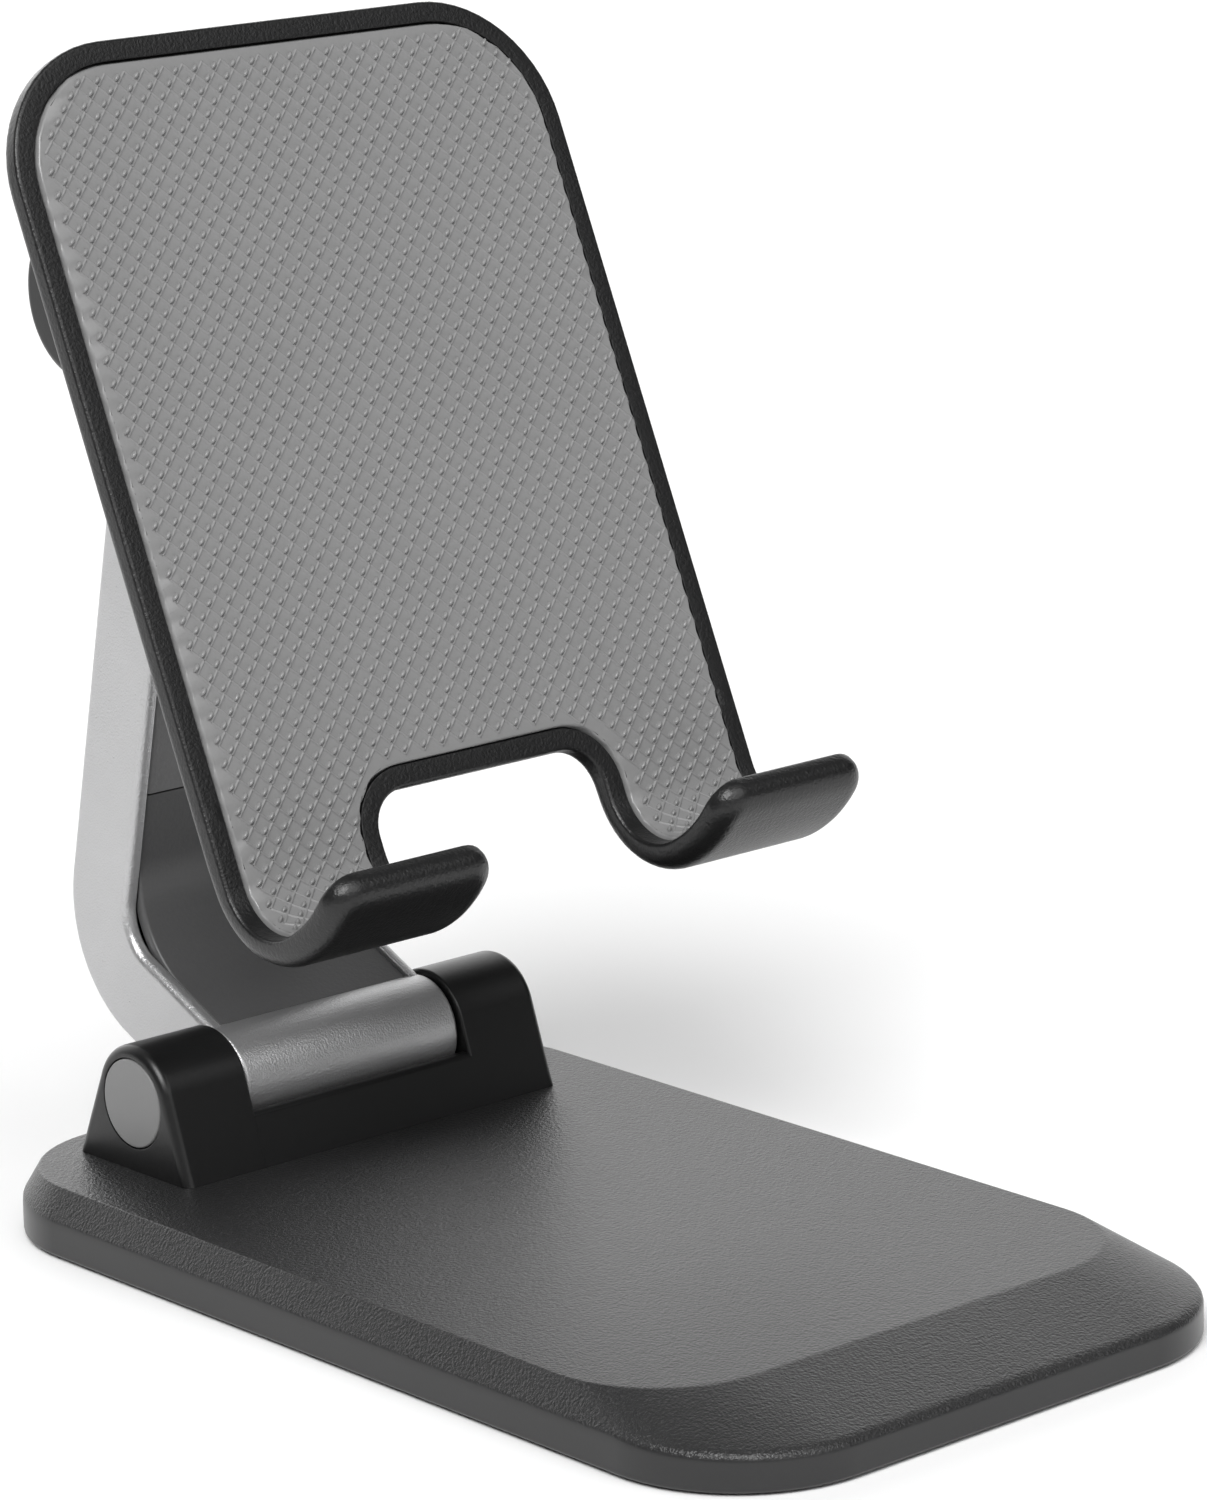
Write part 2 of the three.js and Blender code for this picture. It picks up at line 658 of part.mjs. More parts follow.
// The base
const base = new THREE.Group();
add(base, "base_shell", baseShell(), "base_abs");
add(base, "base_bottom_cover", baseBottomCover(), "black_abs");
add(base, "base_anti_slip_mat", baseMat(), "black_rubber");
add(base, "base_ballast_plate", basePlate(), "steel");
BASE_SCREWS.forEach(({ x, y }, index) => {
  const solid = screw(2.2, 0.6, 1.05, 3.6).translate(x, y, COVER_FLOOR + 0.7);
  add(base, `base_screw_${index + 1}`, solid, "steel");
});
CLEVIS_SCREWS.forEach(({ x, y }, index) => {
  const solid = screw(2.4, 1.1, 1.2, 6).translate(x, y, ROOF - 0.02);
  add(base, `lower_clevis_screw_${index + 1}`, solid, "steel");
});

// The lower hinge, about its own axis
const LOWER_EAR_OUTER = 26.3;
const lowerHinge = new THREE.Group();
lowerHinge.position.set(0, LOWER_AXIS.y, LOWER_AXIS.z);
const lowerClevis = clevis({
  footFront: 9.4,
  footBack: 10.35,
  seat: PLATEAU - LOWER_AXIS.z + 0.02,
  radius: 6.42,
  earOuter: LOWER_EAR_OUTER,
  round: 0.9,
});
const lowerPilots = CLEVIS_SCREWS.map(({ x, y }) =>
  post(1.3, -10, -1.9, { x, y: y - LOWER_AXIS.y }),
);
add(lowerHinge, "lower_clevis", cut(lowerClevis, ...lowerPilots), "black_abs");
addHinge(lowerHinge, "lower_hinge", LOWER_EAR_OUTER);
base.add(lowerHinge);

// The arm
const arm = new THREE.Group();
add(arm, "arm_shell", armShell(), "silver_paint");
add(arm, "arm_cover_lower", armCoverLower(), "cover_abs");
add(arm, "arm_cover_upper", armCoverUpper(), "cover_abs");

// The tray and the upper hinge, drawn upright about the upper axis
const UPPER_EAR_OUTER = 25.5;
const trayGroup = new THREE.Group();
trayGroup.position.set(0, UPPER_AXIS.y, UPPER_AXIS.z);
trayGroup.rotation.x = -radians(TRAY_LEAN);
const upperSeat = PANEL_BACK + FIT_GAP;
const upperClevis = clevis({
  footFront: 13.2,
  footBack: 13.2,
  seat: upperSeat,
  radius: 9.2,
  earOuter: UPPER_EAR_OUTER,
  round: 0.9,
});
const upright = (solid) => solid.rotate(-90, 0, 0);
const upperPilots = TRAY_SCREWS.map((place) => boreBack(1.35, upperSeat - 1, -3.4, place));
add(trayGroup, "upper_clevis", cut(upright(upperClevis), ...upperPilots), "black_abs");
addHinge(trayGroup, "upper_hinge", UPPER_EAR_OUTER);
TRAY_SCREWS.forEach(({ x, z }, index) => {
  const solid = upright(screw(2.1, 0.6, 1.15, 6)).translate(x, TRAY_FRONT + POCKET + 0.65, z);
  add(trayGroup, `tray_screw_${index + 1}`, solid, "steel");
});
add(trayGroup, "tray", tray(), "black_abs");
add(trayGroup, "silicone_pad", pad(), "grey_silicone");

stand.add(base, arm, trayGroup);

// The origin is the middle of the underside of the whole stand.
stand.updateMatrixWorld(true);
const bounds = new THREE.Box3().setFromObject(stand, true);
stand.position.set(0, -(bounds.min.y + bounds.max.y) / 2, 0);

export default stand;
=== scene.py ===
"""A folding phone stand: a weighted base, two friction hinges, a silver arm and a tray with a pad.

Shapes are worked out in millimetres, x across, y back from the base's front edge and z up,
and are moved into the frame's metres when a piece is made.
"""

import math

import bpy
import numpy as np
from mathutils import Matrix, Vector


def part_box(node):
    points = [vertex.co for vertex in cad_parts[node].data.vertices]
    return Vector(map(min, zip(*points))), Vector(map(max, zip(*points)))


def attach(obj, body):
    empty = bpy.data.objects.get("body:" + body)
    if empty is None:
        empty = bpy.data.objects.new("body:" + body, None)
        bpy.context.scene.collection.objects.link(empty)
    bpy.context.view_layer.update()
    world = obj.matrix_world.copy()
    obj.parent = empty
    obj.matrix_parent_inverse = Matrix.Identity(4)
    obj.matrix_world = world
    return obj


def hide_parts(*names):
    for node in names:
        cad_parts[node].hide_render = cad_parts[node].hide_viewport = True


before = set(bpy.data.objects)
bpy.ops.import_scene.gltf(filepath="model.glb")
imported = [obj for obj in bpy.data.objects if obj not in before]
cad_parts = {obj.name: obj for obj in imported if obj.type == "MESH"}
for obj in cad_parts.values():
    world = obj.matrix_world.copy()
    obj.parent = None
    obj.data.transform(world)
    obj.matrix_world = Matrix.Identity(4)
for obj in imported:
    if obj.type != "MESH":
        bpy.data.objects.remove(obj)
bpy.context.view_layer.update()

scene = bpy.context.scene
MM = 0.001


def box_mm(node):
    """A CAD node's lowest and highest corners, in millimetres."""
    return [np.array(corner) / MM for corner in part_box(node)]


def axis_of(node):
    """Where the axis of a round CAD node lies, as y from the base's front edge and z."""
    low, high = box_mm(node)
    return (low + high)[1:] / 2 - [FRONT_EDGE, 0.0]


# ---- Dimensions ----

# Base
BASE_LOW, BASE_HIGH = box_mm("base_shell")
FRONT_EDGE = BASE_LOW[1]
WIDTH, LENGTH = (BASE_HIGH - BASE_LOW)[:2]
FOOT, PLATEAU = BASE_LOW[2], BASE_HIGH[2]  # the mat lifts the base a little
WALL = 1.8
BASE_CORNER, FOOT_ROUND = 16.6, 0.5
SHOULDER, SHOULDER_DROP = 4.25, 0.95  # where the slope starts, and how far below it the rounding does
SLOPE_SIDE, SLOPE_FRONT, BROW_CORNER = 2.15, 13.5, 13.8  # the plateau's insets and corner radius

# Hinges
LOWER, UPPER = axis_of("lower_hinge_bush"), axis_of("upper_hinge_bush")
LOWER_OUTER, UPPER_OUTER = box_mm("lower_clevis")[1][0], box_mm("upper_clevis")[1][0]
EAR_INNER, EAR_INNER_ROUND, EAR_OUTER_ROUND = 15.2, 0.35, 1.1
SLOT = 6.3  # radius of the hollow that the arm's barrel turns in
CRADLE, CRADLE_ROUND = -1.85, 0.45  # the top of the wall in front of it, from the axis, and its round
BORE, CAP_RADIUS, CAP_DEPTH = 2.1, 4.95, 1.1
CAP_PROUD, CAP_ROUND, CAP_GAP, CAP_MIDDLE = 0.05, 0.22, 0.12, 0.4

# Arm
SHORT_LEG, LONG_LEG = math.radians(25.0), math.radians(102.5)  # how steeply each leg rises
BEND_RADIUS = 10.5
ARM_HALF = box_mm("arm_shell")[1][0]
ARM_DEPTH, ARM_WALL, ARM_BACK = 5.2, 1.6, 1.8
LIP_ROUND, HEEL_ROUND, INNER_LIP_ROUND, INNER_ROUND = 0.95, 1.0, 0.25, 0.5
BARREL, BARREL_ROUND, BARREL_BORE = 5.9, 0.5, 2.2
COVER_FACE, COVER_BACK, COVER_GAP = 4.85, 3.45, 0.14
COVER_START, COVER_SEAM, COVER_END = 3.4, 58.2, 8.0
SEAM_HALF = 0.1
COVER_BEND = 16.85  # the covers turn the bend more gently than the arm

# Tray and pad
LEAN = math.radians(23.43)
TRAY_HALF = box_mm("tray")[1][0]
TRAY_FRONT, TRAY_TOP, TRAY_CORNER = -11.54, 24.2, 15.0
HOOK_BOTTOM, HOOK_RADIUS, HOOK_TURN = -65.4, 6.8, math.radians(91.7)
LIP_RADIUS, LIP_TURN, LIP_END, LIP_CORNER = 14.25, math.radians(42.0), 0.5, 3.3
NOTCH_HALF, NOTCH_TOP, NOTCH_CORNER = 15.5, -59.4, 4.5
TRAY_THICK, RIM, POCKET = 2.9, 2.35, 0.7
FRONT_ROUND, BACK_ROUND = 0.42, 1.5
HOOK_EXTRA_THICK, HOOK_EXTRA_ROUND = 0.25, 0.85
HOOK_RUN = HOOK_RADIUS * HOOK_TURN
LIP_RUN = LIP_RADIUS * LIP_TURN
TIP_RUN = HOOK_RUN + LIP_RUN + LIP_END
PAD_FRONT, PAD_BACK, PAD_INSET = -0.3, 0.5, 2.52
PAD_WAVE = 0.12  # the pad's edge swings this far in and out, once in each diamond
LATTICE = 2.55  # the pad's diamonds, corner to corner
LATTICE_START = (-0.775, 9.65)
RIDGE_RISE = 0.46  # in half diamonds: the ridges lie higher, so each pip is low in its diamond
PIP_HALF_LENGTH, PIP_HALF_WIDTH, PIP_HEIGHT, PIP_TILT = 0.58, 0.25, 0.48, math.radians(-45)
RIDGE_HEIGHT = 0.13

# ---- Mesh helpers ----


def quads_of(index):
    """Quads between neighbours of a two-way grid of vertex numbers."""
    return np.stack([index[:-1, :-1], index[:-1, 1:], index[1:, 1:], index[1:, :-1]], -1).reshape(-1, 4)


def ring_quads(rings, count, loop=False):
    """Quads that join closed rings of equal count, and the last to the first when they loop."""
    index = np.arange(rings * count).reshape(rings, count)
    index = np.concatenate([index, index[:, :1]], 1)
    if loop:
        index = np.concatenate([index, index[:1]], 0)
    return quads_of(index)


def closed_rings(rings):
    """k rings of n points joined in order, each end closed by a fan to its middle point."""
    k, n, _ = rings.shape
    ends = rings[[0, -1]].mean(1)
    points = np.concatenate([rings.reshape(-1, 3), ends])
    first = np.arange(n)
    following = np.roll(first, -1)
    low = np.stack([following, first, np.full(n, k * n)], -1)
    high = np.stack([first, following, np.full(n, k * n + 1)], -1)
    high[:, :2] += (k - 1) * n
    return points, [ring_quads(k, n), low, high]


def volume(points, faces):
    """Six times the volume inside a closed surface; it is negative when the faces point in."""
    total = 0.0
    for block in faces:
        for i in range(1, block.shape[1] - 1):
            a, b, c = points[block[:, 0]], points[block[:, i]], points[block[:, i + 1]]
            total += float(np.einsum("ij,ij->i", a, np.cross(b, c)).sum())
    return total


def make_piece(name, shells, material, body, node, weighted=True, sharp=40.0):
    """One piece from closed shells, its faces pointing out, riding on a body for its CAD node."""
    points, faces, start = [], [], 0
    for shell_points, shell_faces in shells:
        middle = shell_points.mean(0)
        flip = volume(shell_points - middle, shell_faces) < 0
        faces += [(block[:, ::-1] if flip else block) + start for block in shell_faces]
        points.append(shell_points)
        start += len(shell_points)
    points = (np.concatenate(points) + np.array([0.0, FRONT_EDGE, 0.0])) * MM
    mesh = bpy.data.meshes.new(name)
    mesh.from_pydata(points, [], [row for block in faces for row in block.tolist()])
    mesh.update()
    mesh.shade_smooth()
    mesh.set_sharp_from_angle(angle=math.radians(sharp))
    mesh.materials.append(material)
    piece = bpy.data.objects.new(name, mesh)
    scene.collection.objects.link(piece)
    if weighted:
        normals = piece.modifiers.new("even_normals", "WEIGHTED_NORMAL")
        normals.keep_sharp = True
    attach(piece, body)
    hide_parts(node)


def quarter(steps):
    """Angles from 0 to a right angle."""
    return np.linspace(0.0, math.pi / 2, steps + 1)


def run_to(start, end, steps=4):
    """Even steps along a straight line, without its first point."""
    return start + np.linspace(0, 1, steps + 1)[1:, None] * (np.array(end) - start)


def lathe(profile, axis, segments=72):
    """A profile of (x, radius) turned about a line across the stand at (y, z)."""
    x, radius = np.array(profile, float).T
    angle = np.linspace(0, 2 * math.pi, segments, endpoint=False)
    y = axis[0] + radius[:, None] * np.cos(angle)
    z = axis[1] + radius[:, None] * np.sin(angle)
    return closed_rings(np.stack([np.broadcast_to(x[:, None], y.shape), y, z], -1))


# ---- Base: rounded rectangles in plan, stacked up the section of its edge ----


def base_ring(inset, front, radius, z, steps=16):
    """A rounded rectangle: straight sides, and four quarter circles of the given radius."""
    half, back = WIDTH / 2 - inset, LENGTH - inset
    turn = quarter(steps)
    centres = [
        (radius - half, front + radius, math.pi),
        (half - radius, front + radius, 1.5 * math.pi),
        (half - radius, back - radius, 0.0),
        (radius - half, back - radius, 0.5 * math.pi),
    ]
    corners = [
        np.stack([x + radius * np.cos(turn + a), y + radius * np.sin(turn + a)], -1)
        for x, y, a in centres
    ]
    plan = np.concatenate(corners)
    return np.concatenate([plan, np.full((len(plan), 1), z)], 1)


def bezier(a, b, c, steps):
    """A curve from a to c that leaves towards b: the quadratic Bezier formula."""
    t = np.linspace(0, 1, steps + 1)[:, None]
    a, b, c = (np.array(v, float) for v in (a, b, c))
    return (1 - t) ** 2 * a + 2 * t * (1 - t) * b + t**2 * c


def base_shell():
    """The edge's section as rows of inset, front inset, corner radius and height.

    The rows go from the hollow's ceiling down to the foot, then outside up to the plateau.
    """
    shoulder = np.array([0.0, 0.0, BASE_CORNER, SHOULDER])
    brow = np.array([SLOPE_SIDE, SLOPE_FRONT, BROW_CORNER, PLATEAU])
    along = lambda share: shoulder + share * (brow - shoulder)
    slope_start, slope_end = 0.1, 0.97
    foot_turn = quarter(4)
    foot_inset = FOOT_ROUND * (1 - np.sin(foot_turn))
    foot_height = FOOT + FOOT_ROUND * (1 - np.cos(foot_turn))
    foot = np.stack([foot_inset, foot_inset, BASE_CORNER - foot_inset, foot_height], -1)
    rounded = bezier(shoulder - [0, 0, 0, SHOULDER_DROP], shoulder, along(slope_start), 7)
    slope = np.stack([along(share) for share in np.linspace(slope_start, slope_end, 8)[1:]])
    edge = bezier(along(slope_end), brow, brow + [0.2, 0.3, -0.2, 0], 4)[1:]
    middle = [[9.0, 22.0, 8.0, PLATEAU], [20.0, 35.0, 4.0, PLATEAU]]
    ceiling, hollow_corner = PLATEAU - WALL, BASE_CORNER - WALL
    inner = [
        [20.0, 35.0, 4.0, ceiling],
        [3.4, 14.5, 12.6, ceiling],
        [WALL, WALL, hollow_corner, 2.9],
        [WALL, WALL, hollow_corner, FOOT + 0.1],
        [WALL - 0.1, WALL - 0.1, hollow_corner + 0.1, FOOT],
    ]
    rows = np.concatenate([inner, foot, rounded, slope, edge, middle])
    return closed_rings(np.stack([base_ring(*row) for row in rows]))


# ---- Clevises: about their own axis, foot downwards ----


def ear_outline(foot_front, foot_back, seat, radius, inset):
    """A round top and two tangent lines down to the seat, all moved in by the inset."""

    def tangent(foot, side):
        """The angle at which a line from a foot touches the round top, on one side of it."""
        return math.atan2(foot[1], foot[0]) + side * math.acos(radius / math.hypot(*foot))

    back = tangent((foot_back, seat), 1)
    front = tangent((-foot_front, seat), -1) + 2 * math.pi
    reach = radius - inset

    def on_seat(angle):
        """Where the tangent line at an angle of the round top meets the seat."""
        return np.array([(reach - seat * math.sin(angle)) / math.cos(angle), seat])

    top = np.linspace(back, front, 49)
    arc = reach * np.stack([np.cos(top), np.sin(top)], -1)
    down = run_to(arc[-1], on_seat(front), 6)
    along = run_to(on_seat(front), on_seat(back), 16)
    rise = run_to(on_seat(back), arc[0], 6)[:-1]
    return np.concatenate([arc, down, along, rise])


def ear(shape, side, outer):
    """Rings from the bore, over the outside and into the cap's pocket, and back to the bore."""
    full = ear_outline(*shape, 0.0)
    angle = np.arctan2(full[:, 1], full[:, 0])
    circle = lambda r: r * np.stack([np.cos(angle), np.sin(angle)], -1)
    rings = [(EAR_INNER, circle(BORE)), (EAR_INNER, ear_outline(*shape, EAR_INNER_ROUND))]
    for turn in quarter(3)[1:]:
        inset = EAR_INNER_ROUND * (1 - math.sin(turn))
        x = EAR_INNER + EAR_INNER_ROUND * (1 - math.cos(turn))
        rings.append((x, ear_outline(*shape, inset)))
    for turn in quarter(6):
        inset = EAR_OUTER_ROUND * (1 - math.cos(turn))
        x = outer - EAR_OUTER_ROUND * (1 - math.sin(turn))
        rings.append((x, ear_outline(*shape, inset)))
    pocket = CAP_RADIUS + CAP_GAP
    floor = outer - CAP_DEPTH - 0.05
    rings += [
        (outer, circle(pocket + 0.12)),
        (outer - 0.05, circle(pocket + 0.03)),
        (outer - 0.15, circle(pocket)),
        (floor, circle(pocket)),
        (floor, circle(BORE)),
    ]
    points = np.stack([np.column_stack([np.full(len(r), side * x), r]) for x, r in rings])
    return points.reshape(-1, 3), [ring_quads(len(rings), len(full), loop=True)]


def cradle(foot_front, foot_back, seat, radius):
    """The wall and floor between the ears: an outer run and an inner run, joined across.

    The outer run goes down the ears' front tangent and back along the seat. The inner run is
    an arc round the barrel and a level floor. Both start at the wall's softened top.
    """
    reach = math.acos(radius / math.hypot(foot_front, seat))
    front = math.atan2(seat, -foot_front) - reach + 2 * math.pi
    tangent_y = lambda z: (radius - z * math.sin(front)) / math.cos(front)
    heights = np.linspace(CRADLE, seat, 17)
    outside = np.stack([tangent_y(heights), heights], -1)
    outside[0] += [CRADLE_ROUND, 0]
    soft_top = [[tangent_y(CRADLE) + 0.12, CRADLE - 0.12]]
    soft_top += [[tangent_y(CRADLE - CRADLE_ROUND), CRADLE - CRADLE_ROUND]]
    outside = np.concatenate([outside[:1], soft_top, outside[1:]])
    outside = np.concatenate([outside, run_to(outside[-1], [foot_back - 0.2, seat])])

    bend = np.linspace(math.pi + math.asin(-CRADLE / SLOT), 1.5 * math.pi, 17)
    arc = SLOT * np.stack([np.cos(bend), np.sin(bend)], -1)
    top = arc[0] - [0.3, 0]
    soft_top = [top, top + [0.25, -0.08], top + [0.37, -0.33]]
    arc = np.concatenate([soft_top, arc[1:]])
    arc = np.concatenate([arc, run_to(arc[-1], [foot_back - 1.0, -SLOT])])

    loop = np.concatenate([outside, arc[::-1]])
    spans = np.linspace(-EAR_INNER - 0.3, EAR_INNER + 0.3, 9)
    rings = np.stack([np.column_stack([np.full(len(loop), x), loop]) for x in spans])
    n, half = len(loop), len(outside)
    low = quads_of(np.stack([np.arange(half), n - 1 - np.arange(half)]))
    high = low[:, ::-1] + (len(spans) - 1) * n
    return rings.reshape(-1, 3), [ring_quads(len(spans), n), low, high]


def clevis(shape, outer):
    """Both ears and the cradle between them, drawn about their own axis."""
    return [ear(shape, -1, outer), ear(shape, 1, outer), cradle(*shape)]


def cap(side, outer):
    """A flat disc with a softened rim, as (x, radius) from its back to its face."""
    face = outer + CAP_PROUD
    rim = [
        (side * (face - CAP_ROUND * (1 - math.sin(t))), CAP_RADIUS - CAP_ROUND * (1 - math.cos(t)))
        for t in quarter(4)
    ]
    back = side * (outer - CAP_DEPTH)
    return [(back, CAP_MIDDLE), (back, CAP_RADIUS), *rim, (side * face, CAP_MIDDLE)]


def on_base(shell):
    """A clevis drawn about its own axis, moved to the lower hinge."""
    points, faces = shell
    return points + np.array([0, *LOWER]), faces


def on_tray(shell):
    """A clevis drawn foot down, turned foot forwards and leaned back with the tray."""
    points, faces = shell
    return leaned(np.stack([points[:, 0], points[:, 2], -points[:, 1]], -1)), faces


def leaned(points):
    """Points about the upper axis, leaned back by the tray's angle."""
    x, y, z = points.T
    back = y * math.cos(LEAN) + z * math.sin(LEAN)
    rise = -y * math.sin(LEAN) + z * math.cos(LEAN)
    return np.stack([x, UPPER[0] + back, UPPER[1] + rise], -1)


# ---- Arm: sections carried along the middle line from axis to axis ----


def arm_line(bend_radius):
    """Points along the middle line, from axis to axis, with their inward normals and runs.

    The two legs meet where their directions cross, and the bend is an arc that touches both.
    """
    low_steps, bend_steps, high_steps = 8, 40, 12
    short = np.array([math.cos(SHORT_LEG), math.sin(SHORT_LEG)])
    long = np.array([math.cos(LONG_LEG), math.sin(LONG_LEG)])
    gap = UPPER - LOWER
    meet = (gap[0] * long[1] - gap[1] * long[0]) / (short[0] * long[1] - short[1] * long[0])
    start = meet - bend_radius * math.tan((LONG_LEG - SHORT_LEG) / 2)
    centre = LOWER + start * short + bend_radius * np.array([-short[1], short[0]])
    angle = np.linspace(SHORT_LEG, LONG_LEG, bend_steps + 1) - math.pi / 2
    out = np.stack([np.cos(angle), np.sin(angle)], -1)
    bend = centre + bend_radius * out
    low_leg = LOWER + np.linspace(0, start, low_steps + 1)[:-1, None] * short
    high_leg = run_to(bend[-1], UPPER, high_steps)
    points = np.concatenate([low_leg, bend, high_leg])
    outward = [np.repeat(out[:1], low_steps, 0), out, np.repeat(out[-1:], high_steps, 0)]
    normals = -np.concatenate(outward)
    runs = np.concatenate([[0], np.cumsum(np.linalg.norm(np.diff(points, axis=0), axis=1))])
    return points, normals, runs


def between(line, start, end, closest=0.2):
    """The part of the arm's line between two runs, its ends worked out between points."""
    points, normals, runs = line
    inside = runs[(runs > start + closest) & (runs < end - closest)]
    at = np.concatenate([[start], inside, [end]])
    pick = lambda values: np.stack([np.interp(at, runs, values[:, i]) for i in range(2)], -1)
    return pick(points), pick(normals)


def sweep(section, line_part):
    """A closed section of (x, offset) placed at every point of the line."""
    points, normals = line_part
    x, offset = section.T
    place = points[:, None] + offset[None, :, None] * normals[:, None]
    across = np.broadcast_to(x, place.shape[:2])
    return np.concatenate([across[..., None], place], -1)


def rounded_turn(corner, towards, away, radius, steps=4):
    """A quarter circle at a corner, between the directions it comes from and leaves by."""
    corner, towards, away = (np.array(v, float) for v in (corner, towards, away))
    centre = corner - radius * towards + radius * away
    turn = quarter(steps)[:, None]
    return centre + radius * (towards * np.sin(turn) - away * np.cos(turn))


LEFT, RIGHT, RISE, FALL = [-1, 0], [1, 0], [0, 1], [0, -1]


def arm_section():
    """The arm's U in section: an outer run and an inner run with the same number of points."""
    half, clear, top = ARM_HALF, ARM_HALF - ARM_WALL, ARM_DEPTH
    floor = ARM_BACK - ARM_DEPTH
    outer = np.concatenate([
        [[1.1 - half, top]],
        rounded_turn([-half, top], LEFT, FALL, LIP_ROUND, 6),
        rounded_turn([-half, -top], FALL, RIGHT, HEEL_ROUND, 6),
    ])
    inner = np.concatenate([
        [[1.2 - half, top]],
        rounded_turn([-clear, top], RIGHT, FALL, INNER_LIP_ROUND, 6),
        rounded_turn([-clear, floor], FALL, RIGHT, INNER_ROUND, 6),
    ])
    both_sides = lambda run: np.concatenate([run, run[::-1] * [-1, 1]])
    return both_sides(outer), both_sides(inner)


def arm_shell(line):
    """The U carried from near one axis to near the other, and a round-edged barrel at each."""
    outer, inner = arm_section()
    loop = np.concatenate([outer, inner[::-1]])
    end_gap = 1.0
    rings = sweep(loop, between(line, end_gap, line[2][-1] - end_gap))
    k, n, _ = rings.shape
    low = quads_of(np.stack([np.arange(n // 2), n - 1 - np.arange(n // 2)]))
    high = low[:, ::-1] + (k - 1) * n
    shells = [(rings.reshape(-1, 3), [ring_quads(k, n), low, high])]
    turn = quarter(5)
    rim_x = ARM_HALF - BARREL_ROUND * (1 - np.sin(turn))
    rim = np.stack([rim_x, BARREL - BARREL_ROUND * (1 - np.cos(turn))], -1)
    ends = np.array([[-ARM_HALF, BARREL_BORE], [ARM_HALF, BARREL_BORE]])
    profile = np.concatenate([ends[:1], (rim * [-1, 1])[::-1], rim, ends[1:]])
    for axis in (LOWER, UPPER):
        shells.append(lathe(profile, axis, 96))
    return shells


def cover(line, start, end):
    """A strip with round edges, sunk between the arm's side walls."""
    half = ARM_HALF - ARM_WALL - COVER_GAP
    face_round, back_round = 0.4, 0.1
    section = np.concatenate([
        rounded_turn([-half, COVER_FACE], LEFT, FALL, face_round),
        rounded_turn([-half, COVER_BACK], FALL, RIGHT, back_round, 2),
        rounded_turn([half, COVER_BACK], RIGHT, RISE, back_round, 2),
        rounded_turn([half, COVER_FACE], RISE, LEFT, face_round),
    ])
    return closed_rings(sweep(section, between(line, start, end)))


# ---- Tray and pad: a flat plan of x and run, bent down the panel and round the hooks ----


def bent(x, run, offset):
    """Places of x, run and offset behind the tray's front, put where the bent tray has them.

    The run counts down from the hooks' start, so the panel is at negative runs. Past it the
    surface follows an arc of HOOK_RADIUS, then one of LIP_RADIUS, then a straight line.
    """
    in_hook = np.clip(run, 0, HOOK_RUN) / HOOK_RADIUS
    in_lip = np.clip(run - HOOK_RUN, 0, LIP_RUN) / LIP_RADIUS
    beyond = np.clip(run - HOOK_RUN - LIP_RUN, 0, None)
    angle = in_hook + in_lip
    start = np.array([TRAY_FRONT - HOOK_RADIUS, HOOK_BOTTOM])
    turned = np.array([math.cos(HOOK_TURN), -math.sin(HOOK_TURN)])
    opened = start + (HOOK_RADIUS - LIP_RADIUS) * turned
    lip = run > HOOK_RUN
    reach = np.where(lip, LIP_RADIUS, HOOK_RADIUS) + offset
    y = np.where(lip, opened[0], start[0]) + reach * np.cos(angle) - beyond * np.sin(angle)
    z = np.where(lip, opened[1], start[1]) - reach * np.sin(angle) - beyond * np.cos(angle)
    z = z + np.clip(-run, 0, None)
    return leaned(np.stack([x, y, z], -1))


